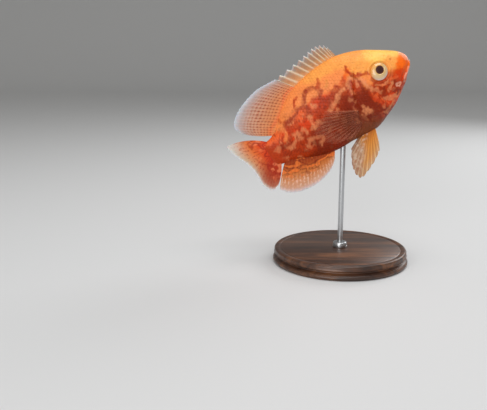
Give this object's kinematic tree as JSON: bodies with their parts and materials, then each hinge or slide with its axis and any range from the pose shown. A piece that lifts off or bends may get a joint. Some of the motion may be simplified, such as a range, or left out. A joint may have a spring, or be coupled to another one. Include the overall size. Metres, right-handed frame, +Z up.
{
  "type": "oscar fish model",
  "caption": "Life-size young oscar cichlid with a red-marbled orange body and spread fins, nose up, held by a steel rod on a round wooden base.",
  "frame": {"origin": "middle of the underside of the stand's base", "axes": "+X towards the fish's head, +Y to the fish's left side, +Z up"},
  "size_m": [0.1025, 0.076, 0.1196],
  "materials": {
    "skin_head": "painted resin skin, warm yellow-orange on the forehead, satin gloss",
    "skin_lips": "painted resin skin, red-orange lips and snout, satin gloss",
    "skin_gill_cover": "painted resin skin, dark red-brown with pale streaks, satin gloss",
    "skin_body": "painted resin skin under overlapping scales, orange marbled with red, satin gloss",
    "fin_membrane": "thin rayed membrane, red-orange at the root to pale grey at the margin",
    "eye": "glossy cream iris round a dark maroon pupil",
    "walnut": "oiled walnut, satin",
    "brushed_steel": "fine brushed steel"
  },
  "bodies": {
    "root": {"head": "skin_head", "upper_jaw": "skin_lips", "lower_jaw": "skin_lips", "gill_cover_right": "skin_gill_cover", "gill_cover_left": "skin_gill_cover", "trunk": "skin_body", "tail": "skin_body", "dorsal_fin_spiny": "fin_membrane", "dorsal_fin_soft": "fin_membrane", "anal_fin": "fin_membrane", "caudal_fin": "fin_membrane", "pectoral_fin_right": "fin_membrane", "pectoral_fin_left": "fin_membrane", "pelvic_fin_right": "fin_membrane", "pelvic_fin_left": "fin_membrane", "eye_right": "eye", "eye_left": "eye", "stand_base": "walnut", "stand_rod": "brushed_steel", "stand_collar": "brushed_steel"}
  },
  "joints": []
}
